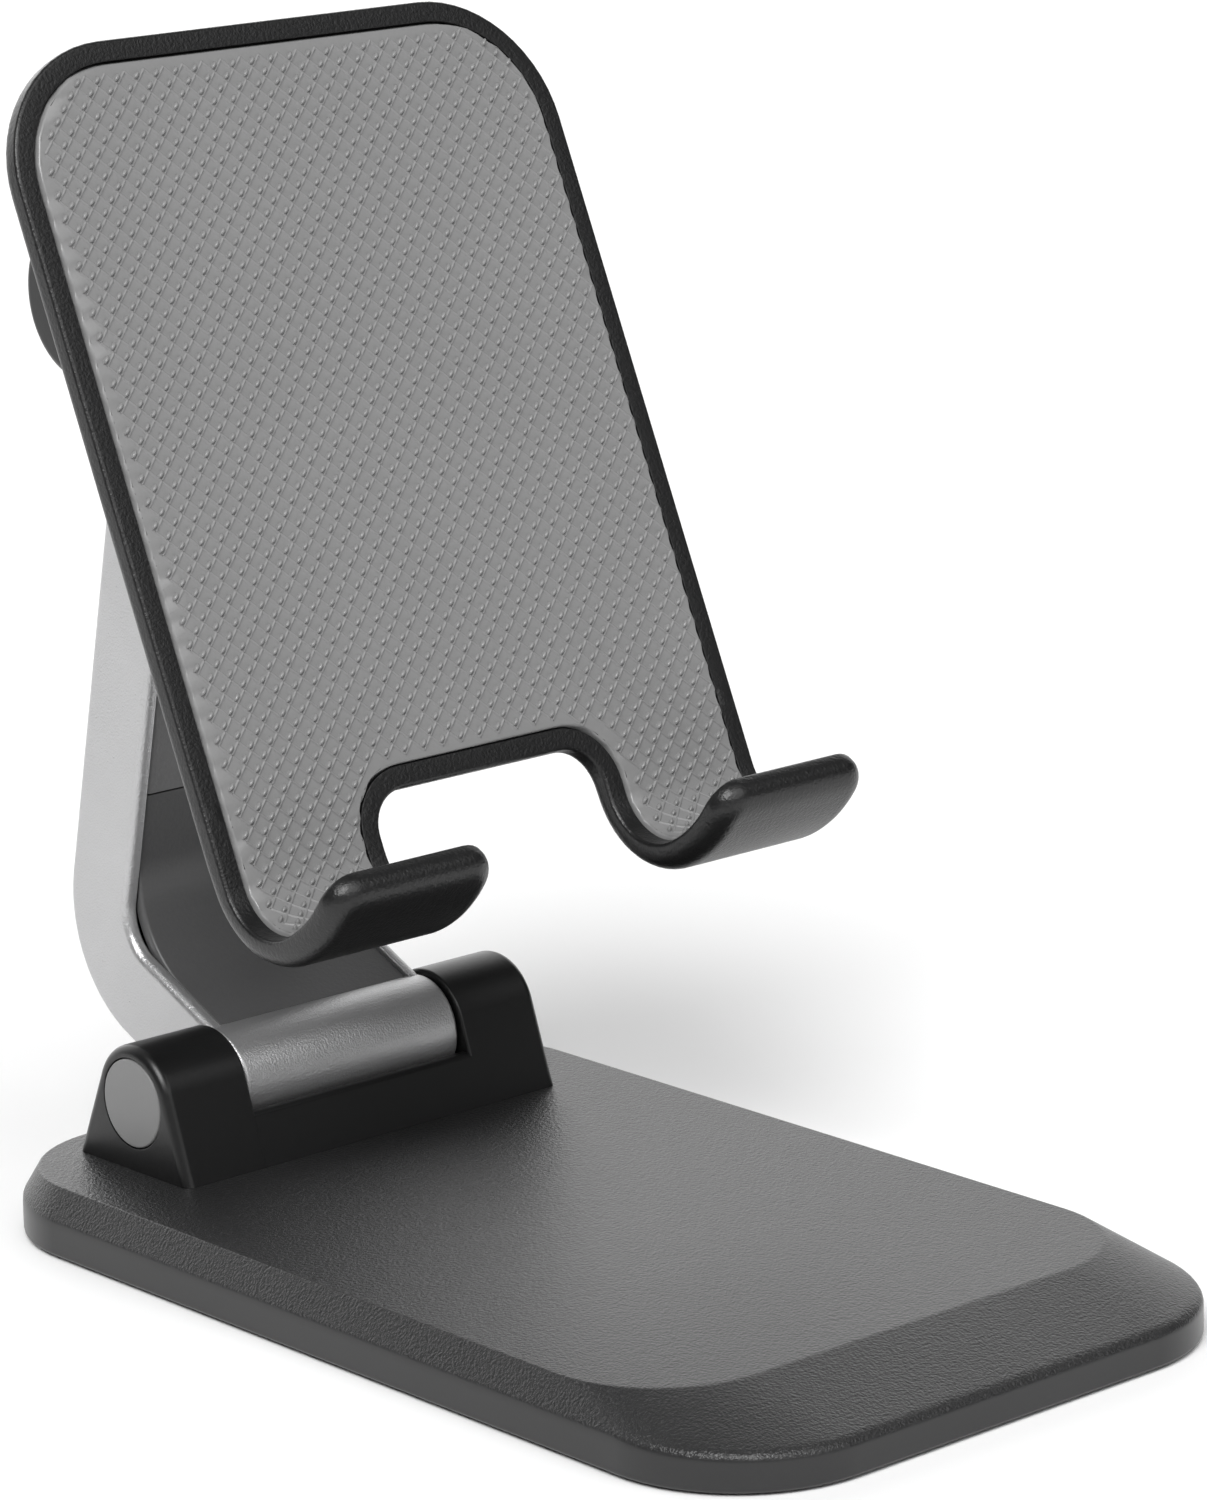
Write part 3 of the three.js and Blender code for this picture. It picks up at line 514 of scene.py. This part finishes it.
def plan_grid(inset, spacing, columns, bridge):
    """The tray's plan drawn in by an inset, as rows of run with their outer and inner edges.

    Rows go down the panel; where they cross a rounded corner they are spaced by its angle.
    It gives the vertex grid and its outline with the outline's outward normals.
    """
    half, corner = TRAY_HALF - inset, TRAY_CORNER - inset
    notch, notch_corner = NOTCH_HALF + inset, NOTCH_CORNER + inset
    top = HOOK_BOTTOM - (TRAY_TOP - inset)
    notch_run = HOOK_BOTTOM - (NOTCH_TOP + inset)
    tip, lip = TIP_RUN - inset, LIP_CORNER - inset

    def steps(start, end):
        """Even runs from a start up to, but without, an end, about a spacing apart."""
        return np.linspace(start, end, max(int(abs(end - start) / spacing), 1) + 1)[:-1]

    turn = quarter(14)[::-1]
    top_arc = top + corner * (1 - np.sin(turn))
    upper = np.concatenate([top_arc[:-1], steps(top + corner, notch_run), [notch_run]])
    upper_angle = np.concatenate([turn[:-1], np.zeros(len(upper) - len(turn) + 1)])
    arc = notch_run + notch_corner * (1 - np.sin(turn))
    straight = np.concatenate([steps(arc[-1], 0.0), steps_in_hook(spacing, tip - lip)])
    tip_turn = quarter(8)
    end = tip - lip + lip * np.sin(tip_turn)
    lower = np.concatenate([arc[:-1], straight, end])
    count = len(lower)
    notch_angle = np.concatenate([turn[:-1], np.zeros(count - len(turn) + 1)])
    tip_angle = np.concatenate([np.zeros(count - len(tip_turn)), tip_turn])

    outer_upper = half - corner + corner * np.cos(upper_angle)
    outer_lower = half - lip + lip * np.cos(tip_angle)
    inner_lower = (
        notch - notch_corner + notch_corner * np.cos(notch_angle) + lip - lip * np.cos(tip_angle)
    )
    inner_upper = notch - notch_corner
    share = np.linspace(0, 1, columns + 1)
    leg = lambda outer, inner: inner + (outer - inner) * share
    right_upper = leg(outer_upper[:, None], inner_upper)
    middle = np.linspace(-inner_upper, inner_upper, bridge + 1)[1:-1]
    middle = np.broadcast_to(middle, (len(upper), bridge - 1))
    across = np.concatenate([-right_upper[:, ::-1], middle, right_upper], 1)
    right_lower = leg(outer_lower[:, None], inner_lower[:, None])[1:]
    grid_upper = np.stack([across, np.broadcast_to(upper[:, None], across.shape)], -1)
    grid_right = np.stack([right_lower, np.broadcast_to(lower[1:, None], right_lower.shape)], -1)
    grid_left = grid_right[:, ::-1] * [-1, 1]
    flat = np.concatenate([g.reshape(-1, 2) for g in (grid_upper, grid_left, grid_right)])

    n_upper, wide = across.shape
    narrow = columns + 1
    index = np.arange(n_upper * wide).reshape(n_upper, wide)
    left = np.arange((count - 1) * narrow).reshape(-1, narrow) + index.size
    right = left + left.size
    left = np.concatenate([index[-1:, :narrow], left])
    right = np.concatenate([index[-1:, -narrow:], right])
    faces = np.concatenate([quads_of(index), quads_of(left), quads_of(right)])

    out_upper = np.stack([np.cos(upper_angle), -np.sin(upper_angle)], -1)
    out_lower = np.stack([np.cos(tip_angle), np.sin(tip_angle)], -1)
    in_notch = np.stack([-np.cos(notch_angle), np.sin(notch_angle)], -1)
    in_tip = np.stack([-np.cos(tip_angle), np.sin(tip_angle)], -1)
    in_lower = np.where((tip_angle > 0)[:, None], in_tip, in_notch)
    flip = np.array([-1, 1])
    down, rise = np.array([[0.0, 1.0]]), np.array([[0.0, -1.0]])
    order = [
        (index[:, 0], out_upper * flip),
        (left[1:, 0], out_lower[1:] * flip),
        (left[-1, 1:-1], np.repeat(down, narrow - 2, 0)),
        (left[::-1, -1], in_lower[::-1] * flip),
        (index[-1, narrow:-narrow], np.repeat(down, bridge - 1, 0)),
        (right[:, 0], in_lower),
        (right[-1, 1:-1], np.repeat(down, narrow - 2, 0)),
        (right[:0:-1, -1], out_lower[:0:-1]),
        (index[::-1, -1], out_upper[::-1]),
        (index[0, -2:0:-1], np.repeat(rise, wide - 2, 0)),
    ]
    edge = np.concatenate([part for part, _ in order])
    normals = np.concatenate([part for _, part in order])
    return flat, faces, edge, normals


def steps_in_hook(spacing, end, widest=0.7):
    """Runs from the hook's start to an end, never much further apart than the widest step."""
    return np.linspace(0.0, end, max(int(end / min(spacing, widest)), 1) + 1)[:-1]


def bent_slab(plan, inset, rings, front, back):
    """A closed slab: two faces on the plan's grid, joined round the outline by edge rings.

    Each ring is how far in it lies from the true outline and its offset, as functions of run.
    """
    flat, faces, edge, normals = plan
    n = len(flat)
    x, run = flat.T
    points = [bent(x, run, front(run)), bent(x, run, back(run))]
    rim = flat[edge]
    for inward, offset in rings:
        moved = rim + normals * (inset - inward(rim[:, 1]))[:, None]
        points.append(bent(moved[:, 0], moved[:, 1], offset(rim[:, 1])))
    count = len(edge)
    starts = 2 * n + count * np.arange(len(rings))
    index = np.concatenate([[edge], starts[:, None] + np.arange(count), [edge + n]])
    index = np.concatenate([index, index[:, :1]], 1)
    return np.concatenate(points), [faces, faces[:, ::-1] + n, quads_of(index)]


def towards_hook(run):
    """0 on the panel, rising smoothly to 1 round the hook: the cubic 3t^2 - 2t^3."""
    t = np.clip((run + 4.0) / 8.0, 0, 1)
    return t * t * (3 - 2 * t)


def same(value):
    """A function of run that gives one value everywhere."""
    return lambda run: np.full(run.shape, value)


def tray_slab():
    """Soft edges: a small round in front, and behind a larger one that grows on the hooks."""
    thick = lambda run: TRAY_THICK + HOOK_EXTRA_THICK * towards_hook(run)
    soft = lambda run: BACK_ROUND + HOOK_EXTRA_ROUND * towards_hook(run)
    rings = [
        (same(RIM + 0.02), same(POCKET)),
        (same(RIM), same(POCKET - 0.03)),
        (same(RIM), same(0.1)),
        (same(RIM - 0.03), same(0.03)),
        (same(RIM - 0.1), same(0.0)),
        (same(1.4), same(0.0)),
    ]
    for turn in quarter(4):
        away, drop = 1 - math.sin(turn), 1 - math.cos(turn)
        rings.append((same(FRONT_ROUND * away), same(FRONT_ROUND * drop)))
    for turn in quarter(8):
        away, drop = 1 - math.cos(turn), 1 - math.sin(turn)
        rings.append((
            lambda run, away=away: soft(run) * away,
            lambda run, drop=drop: thick(run) - soft(run) * drop,
        ))
    inset = RIM + 0.27
    plan = plan_grid(inset, spacing=6.0, columns=8, bridge=8)
    return bent_slab(plan, inset, rings, same(POCKET), thick)


def inside_plan(x, run, margin):
    """True where a place is on the plan and at least a margin from its edge."""
    side = np.abs(x)
    over_x = np.clip(side - (TRAY_HALF - TRAY_CORNER), 0, None)
    over_run = np.clip(HOOK_BOTTOM - TRAY_TOP + TRAY_CORNER - run, 0, None)
    in_corner = np.hypot(over_x, over_run) < TRAY_CORNER - margin
    notch_run = HOOK_BOTTOM - NOTCH_TOP
    clear_tip = run < TIP_RUN - margin
    beside = side > NOTCH_HALF + margin
    above = run < notch_run - margin
    past_x = side - (NOTCH_HALF - NOTCH_CORNER)
    past_run = notch_run + NOTCH_CORNER - run
    by_corner = (past_x > 0) & (past_run > 0)
    by_corner &= np.hypot(past_x, past_run) > NOTCH_CORNER + margin
    return in_corner & clear_tip & (beside | above | by_corner)


def lattice(over, up):
    """Every second crossing of a square grid, moved over and up by shares of a half diamond.

    It reaches past the pad on all sides, and gives x and run.
    """
    i, j = (v.ravel() for v in np.meshgrid(np.arange(-32, 33), np.arange(-90, 50)))
    keep = (i + j) % 2 == 0
    x = LATTICE_START[0] + (i[keep] + over) * LATTICE / 2
    z = LATTICE_START[1] + (j[keep] + up) * LATTICE / 2
    return x, HOOK_BOTTOM - z


def repeated(template, faces, x, run):
    """One small closed shape, drawn in (x, run, offset), set down at many places."""
    count, size = len(x), len(template)
    at_x = (x[:, None] + template[:, 0]).ravel()
    at_run = (run[:, None] + template[:, 1]).ravel()
    offset = np.broadcast_to(template[:, 2], (count, size)).ravel()
    starts = size * np.arange(count)[:, None, None]
    moved = [(block[None] + starts).reshape(-1, block.shape[1]) for block in faces]
    return bent(at_x, at_run, offset), moved


def pad_sheet():
    """The pad's plain sheet, with a rounded edge that swings in and out as a cosine of run."""
    wave = lambda run: PAD_INSET + PAD_WAVE + PAD_WAVE * np.cos(2 * math.pi * run / LATTICE)
    rings = [
        (lambda run: wave(run) + 0.25, same(PAD_FRONT + 0.01)),
        (lambda run: wave(run) + 0.1, same(PAD_FRONT + 0.05)),
        (wave, same(PAD_FRONT + 0.2)),
        (same(PAD_INSET + 0.02), same(PAD_BACK)),
    ]
    inset = PAD_INSET + 0.35
    plan = plan_grid(inset, spacing=0.64, columns=9, bridge=12)
    return bent_slab(plan, inset, rings, same(PAD_FRONT), same(PAD_BACK))


def pips(sides=8):
    """Raised ovals at the lattice's crossings: three tilted rings of an ellipse and a peak."""
    angle = np.linspace(0, 2 * math.pi, sides, endpoint=False)
    oval = np.stack([PIP_HALF_LENGTH * np.cos(angle), PIP_HALF_WIDTH * np.sin(angle)], -1)
    cos, sin = math.cos(PIP_TILT), math.sin(PIP_TILT)
    oval = oval @ np.array([[cos, sin], [-sin, cos]])
    foot, peak = PAD_FRONT + 0.06, PAD_FRONT - PIP_HEIGHT
    levels = [(1.0, foot), (0.92, PAD_FRONT - 0.22), (0.6, PAD_FRONT - 0.42)]
    rows = [np.column_stack([oval * size, np.full(sides, lift)]) for size, lift in levels]
    pip = np.concatenate([*rows, [[0, 0, peak]], [[0, 0, foot]]])
    ring = np.arange(sides)
    after = np.roll(ring, -1)
    top = 2 * sides
    faces = [
        ring_quads(3, sides),
        np.stack([ring + top, after + top, np.full(sides, 3 * sides)], -1),
        np.stack([after, ring, np.full(sides, 3 * sides + 1)], -1),
    ]
    x, run = lattice(0.0, 0.0)
    keep = inside_plan(x, run, PAD_INSET + 0.75)
    return repeated(pip, faces, x[keep], run[keep])


def ridges(slant):
    """Fine flat-topped bars between the diamonds, which fall to the right at slant 1 and rise at -1."""
    low, high = PAD_FRONT + 0.04, PAD_FRONT - RIDGE_HEIGHT
    section = [(0.2, low), (0.07, high), (-0.07, high), (-0.2, low)]
    half_way = np.array([LATTICE / 4, slant * LATTICE / 4])
    aside = np.array([-half_way[1], half_way[0]]) / np.hypot(*half_way)
    spine = np.stack([-half_way, half_way])
    rows = [np.column_stack([spine + aside * w, np.full(2, lift)]) for w, lift in section]
    tube = np.arange(8).reshape(4, 2)
    ends = np.stack([tube[:, 0], tube[::-1, 1]])
    faces = [quads_of(np.concatenate([tube, tube[:1]])), ends]
    x, run = lattice(0.5, 0.5 * slant + RIDGE_RISE)
    keep = inside_plan(x - half_way[0], run - half_way[1], PAD_INSET + 0.4)
    keep &= inside_plan(x + half_way[0], run + half_way[1], PAD_INSET + 0.4)
    return repeated(np.concatenate(rows), faces, x[keep], run[keep])


# ---- Finishes ----


def grain_group():
    """Moulded grain: two noises of different size give a height and a faint change of tone."""
    group = bpy.data.node_groups.new("moulded_grain", "ShaderNodeTree")
    interface = group.interface
    for name, value in (("Size", 2500.0), ("Tone", 0.1)):
        socket = interface.new_socket(name, in_out="INPUT", socket_type="NodeSocketFloat")
        socket.default_value = value
    interface.new_socket("Height", in_out="OUTPUT", socket_type="NodeSocketFloat")
    interface.new_socket("Shade", in_out="OUTPUT", socket_type="NodeSocketFloat")
    nodes, links = group.nodes, group.links
    given, result = nodes.new("NodeGroupInput"), nodes.new("NodeGroupOutput")
    place = nodes.new("ShaderNodeTexCoord")
    fine = nodes.new("ShaderNodeTexNoise")
    fine.inputs["Detail"].default_value = 2.0
    fine.inputs["Roughness"].default_value = 0.6
    broad = nodes.new("ShaderNodeTexNoise")
    broad.inputs["Scale"].default_value = 60.0
    broad.inputs["Detail"].default_value = 3.0
    links.new(place.outputs["Object"], fine.inputs["Vector"])
    links.new(place.outputs["Object"], broad.inputs["Vector"])
    links.new(given.outputs["Size"], fine.inputs["Scale"])
    links.new(fine.outputs["Fac"], result.inputs["Height"])
    mixed = nodes.new("ShaderNodeMath")
    mixed.operation = "ADD"
    links.new(fine.outputs["Fac"], mixed.inputs[0])
    links.new(broad.outputs["Fac"], mixed.inputs[1])
    centred = nodes.new("ShaderNodeMath")
    centred.operation = "SUBTRACT"
    centred.inputs[1].default_value = 1.0
    links.new(mixed.outputs[0], centred.inputs[0])
    shade = nodes.new("ShaderNodeMath")
    shade.operation = "MULTIPLY_ADD"
    shade.inputs[2].default_value = 1.0
    links.new(centred.outputs[0], shade.inputs[0])
    links.new(given.outputs["Tone"], shade.inputs[1])
    links.new(shade.outputs[0], result.inputs["Shade"])
    return group


GRAIN = grain_group()


def finish(
    name, colour, roughness, size, depth, tone, rough_change=0.05, metallic=0.0, top_only=False
):
    """A moulded or painted surface: colour and gloss drift with the grain, which also stands up.

    The size is in grains to a metre and the depth in millimetres. With top_only, the grain
    stands up only on faces that look upwards.
    """
    material = bpy.data.materials.new(name)
    material.use_nodes = True
    nodes, links = material.node_tree.nodes, material.node_tree.links
    shader = nodes["Principled BSDF"]
    shader.inputs["Metallic"].default_value = metallic
    grain = nodes.new("ShaderNodeGroup")
    grain.node_tree = GRAIN
    grain.inputs["Size"].default_value = size
    grain.inputs["Tone"].default_value = tone
    tint = nodes.new("ShaderNodeVectorMath")
    tint.operation = "SCALE"
    tint.inputs[0].default_value = colour
    links.new(grain.outputs["Shade"], tint.inputs["Scale"])
    links.new(tint.outputs["Vector"], shader.inputs["Base Color"])
    rough = nodes.new("ShaderNodeMath")
    rough.operation = "MULTIPLY_ADD"
    rough.inputs[1].default_value = rough_change
    rough.inputs[2].default_value = roughness - rough_change / 2
    links.new(grain.outputs["Height"], rough.inputs[0])
    links.new(rough.outputs[0], shader.inputs["Roughness"])
    bump = nodes.new("ShaderNodeBump")
    bump.inputs["Strength"].default_value = 1.0
    bump.inputs["Distance"].default_value = depth * MM
    height = grain.outputs["Height"]
    if top_only:
        facing = nodes.new("ShaderNodeNewGeometry")
        parts = nodes.new("ShaderNodeSeparateXYZ")
        upward = nodes.new("ShaderNodeMapRange")
        upward.inputs["From Min"].default_value = 0.2
        upward.inputs["From Max"].default_value = 0.45
        masked = nodes.new("ShaderNodeMath")
        masked.operation = "MULTIPLY"
        links.new(facing.outputs["Normal"], parts.inputs[0])
        links.new(parts.outputs["Z"], upward.inputs["Value"])
        links.new(upward.outputs[0], masked.inputs[0])
        links.new(height, masked.inputs[1])
        height = masked.outputs[0]
    links.new(height, bump.inputs["Height"])
    links.new(bump.outputs["Normal"], shader.inputs["Normal"])
    return material


base_plastic = finish("base_plastic", (0.019, 0.019, 0.0194), 0.32, 2900, 0.16, 0.35, top_only=True)
black_plastic = finish("black_plastic", (0.0058, 0.0058, 0.006), 0.34, 1500, 0.012, 0.15)
tray_plastic = finish("tray_plastic", (0.0075, 0.0075, 0.0077), 0.34, 2600, 0.07, 0.25)
silver_paint = finish(
    "silver_paint", (0.52, 0.52, 0.525), 0.33, 4200, 0.07, 0.14, rough_change=0.2, metallic=0.75
)
cover_plastic = finish("cover_plastic", (0.085, 0.085, 0.086), 0.4, 2200, 0.03, 0.2)
cover_grained = finish("cover_plastic_grained", (0.16, 0.16, 0.161), 0.42, 1500, 0.08, 0.25)
grey_silicone = finish("grey_silicone", (0.222, 0.222, 0.222), 0.19, 2800, 0.012, 0.08)
cap_plastic = finish("cap_plastic", (0.2, 0.2, 0.2), 0.45, 900, 0.002, 0.05)
black_rubber = finish("black_rubber", (0.012, 0.012, 0.012), 0.8, 1800, 0.04, 0.2)
steel = finish("steel", (0.55, 0.55, 0.56), 0.3, 700, 0.004, 0.15, rough_change=0.2, metallic=1.0)
nylon = finish("nylon", (0.68, 0.66, 0.6), 0.5, 900, 0.004, 0.05)

# ---- The pieces ----

# A clevis is its foot's reach in front and behind, its seat's height and the ears' radius,
# all about its own axis.
LOWER_SHAPE = (9.4, 10.35, PLATEAU - LOWER[1] + 0.02, 6.42)
UPPER_SHAPE = (13.2, 13.2, TRAY_FRONT + TRAY_THICK + 0.2, 9.2)
lower_clevis = [on_base(shell) for shell in clevis(LOWER_SHAPE, LOWER_OUTER)]
upper_clevis = [on_tray(shell) for shell in clevis(UPPER_SHAPE, UPPER_OUTER)]
arm = arm_shell(arm_line(BEND_RADIUS))

cover_line = arm_line(COVER_BEND)
cover_length = cover_line[2][-1]
seam = cover_length - COVER_SEAM
low_cover = cover(cover_line, COVER_START, seam - SEAM_HALF)
high_cover = cover(cover_line, seam + SEAM_HALF, cover_length - COVER_END)
pad = [pad_sheet(), pips(), ridges(-1), ridges(1)]

make_piece("base_top", [base_shell()], base_plastic, "base", "base_shell")
make_piece("base_clevis", lower_clevis, black_plastic, "base", "lower_clevis")
make_piece("arm", arm, silver_paint, "arm", "arm_shell")
make_piece("arm_cover_low", [low_cover], cover_plastic, "arm", "arm_cover_lower")
make_piece("arm_cover_high", [high_cover], cover_grained, "arm", "arm_cover_upper")
make_piece("tray_shell", [tray_slab()], tray_plastic, "tray", "tray")
make_piece(
    "pad", pad, grey_silicone, "tray", "silicone_pad", weighted=False, sharp=60
)
make_piece("tray_clevis", upper_clevis, black_plastic, "tray", "upper_clevis")
for side, word in ((-1, "left"), (1, "right")):
    for body, hinge, outer, axis in (
        ("base", "lower", LOWER_OUTER, LOWER),
        ("tray", "upper", UPPER_OUTER, UPPER),
    ):
        disc = lathe(cap(side, outer), axis)
        node = f"{hinge}_hinge_cap_{word}"
        make_piece(f"{body}_cap_{word}", [disc], cap_plastic, body, node)

CARRIED = {
    "base_bottom_cover": black_plastic,
    "base_anti_slip_mat": black_rubber,
    "lower_hinge_bush": nylon,
    "upper_hinge_bush": nylon,
}
for name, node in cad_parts.items():
    node.data.materials.clear()
    node.data.materials.append(CARRIED.get(name, steel))

# ---- Camera ----

# The camera stands in front on the left and looks down a little, rolled slightly.
AZIMUTH, ELEVATION, ROLL = math.radians(-131.1156), math.radians(14.0246), math.radians(-1.368)
CAMERA_PLACE = (-0.377119, -0.439881, 0.201383)
flat = math.cos(ELEVATION)
backward = Vector((flat * math.cos(AZIMUTH), flat * math.sin(AZIMUTH), math.sin(ELEVATION)))
level = Vector((-math.sin(AZIMUTH), math.cos(AZIMUTH), 0.0))
upright = backward.cross(level)
across = math.cos(ROLL) * level + math.sin(ROLL) * upright
upwards = math.cos(ROLL) * upright - math.sin(ROLL) * level
camera_data = bpy.data.cameras.new("view")
camera_data.sensor_width = 36.0
camera_data.lens = 137.54
camera_data.clip_start = 0.01
camera = bpy.data.objects.new("view", camera_data)
scene.collection.objects.link(camera)
facing = Matrix((across, upwards, backward)).transposed().to_4x4()
camera.matrix_world = Matrix.Translation(CAMERA_PLACE) @ facing
scene.camera = camera

# ---- Studio ----

scene.view_settings.view_transform = "Standard"
FLOOR_HALF = 30.0
floor_mesh = bpy.data.meshes.new("floor")
floor_corners = [
    (x * FLOOR_HALF, y * FLOOR_HALF, 0) for x, y in ((-1, -1), (1, -1), (1, 1), (-1, 1))
]
floor_mesh.from_pydata(floor_corners, [], [(0, 1, 2, 3)])
floor = bpy.data.objects.new("floor", floor_mesh)
scene.collection.objects.link(floor)
floor_paint = bpy.data.materials.new("floor")
floor_paint.use_nodes = True
floor_shader = floor_paint.node_tree.nodes["Principled BSDF"]
floor_shader.inputs["Base Color"].default_value = (0.93, 0.93, 0.93, 1)
floor_shader.inputs["Roughness"].default_value = 0.9
floor_shader.inputs["Specular IOR Level"].default_value = 0.1
floor_mesh.materials.append(floor_paint)

FILL_LIGHT = 0.04
WIDE, NARROW = (0.76, 0.98), (0.93, 0.99)  # cosines at a panel's dark edge and at its full light
SOFT_PANELS = [  # which way it lies and how high in degrees, how bright, how wide
    (45, 14, 1.4, WIDE),
    (90, 14, 1.5, WIDE),
    (90, 48, 0.25, WIDE),
    (210, 48, 10.2, NARROW),
    (270, 48, 2.1, WIDE),
]


def studio():
    """Far soft panels round the stand: each is a smooth spot of light in one direction."""
    world = bpy.data.worlds.new("studio")
    scene.world = world
    world.use_nodes = True
    nodes, links = world.node_tree.nodes, world.node_tree.links
    background = nodes["Background"]
    background.inputs["Color"].default_value = (1, 1, 1, 1)
    place = nodes.new("ShaderNodeTexCoord")
    light = None
    for turn, height, power, (dark_edge, full_light) in SOFT_PANELS:
        turn, height = math.radians(turn), math.radians(height)
        towards = nodes.new("ShaderNodeVectorMath")
        towards.operation = "DOT_PRODUCT"
        flat = math.cos(height)
        x, y = math.cos(turn) * flat, math.sin(turn) * flat
        towards.inputs[1].default_value = (x, y, math.sin(height))
        links.new(place.outputs["Generated"], towards.inputs[0])
        spot = nodes.new("ShaderNodeMapRange")
        spot.interpolation_type = "SMOOTHSTEP"
        spot.inputs["From Min"].default_value = dark_edge
        spot.inputs["From Max"].default_value = full_light
        spot.inputs["To Max"].default_value = power
        links.new(towards.outputs["Value"], spot.inputs["Value"])
        total = nodes.new("ShaderNodeMath")
        total.operation = "ADD"
        links.new(spot.outputs[0], total.inputs[0])
        if light:
            links.new(light, total.inputs[1])
        else:
            total.inputs[1].default_value = FILL_LIGHT
        light = total.outputs[0]
    links.new(light, background.inputs["Strength"])


studio()
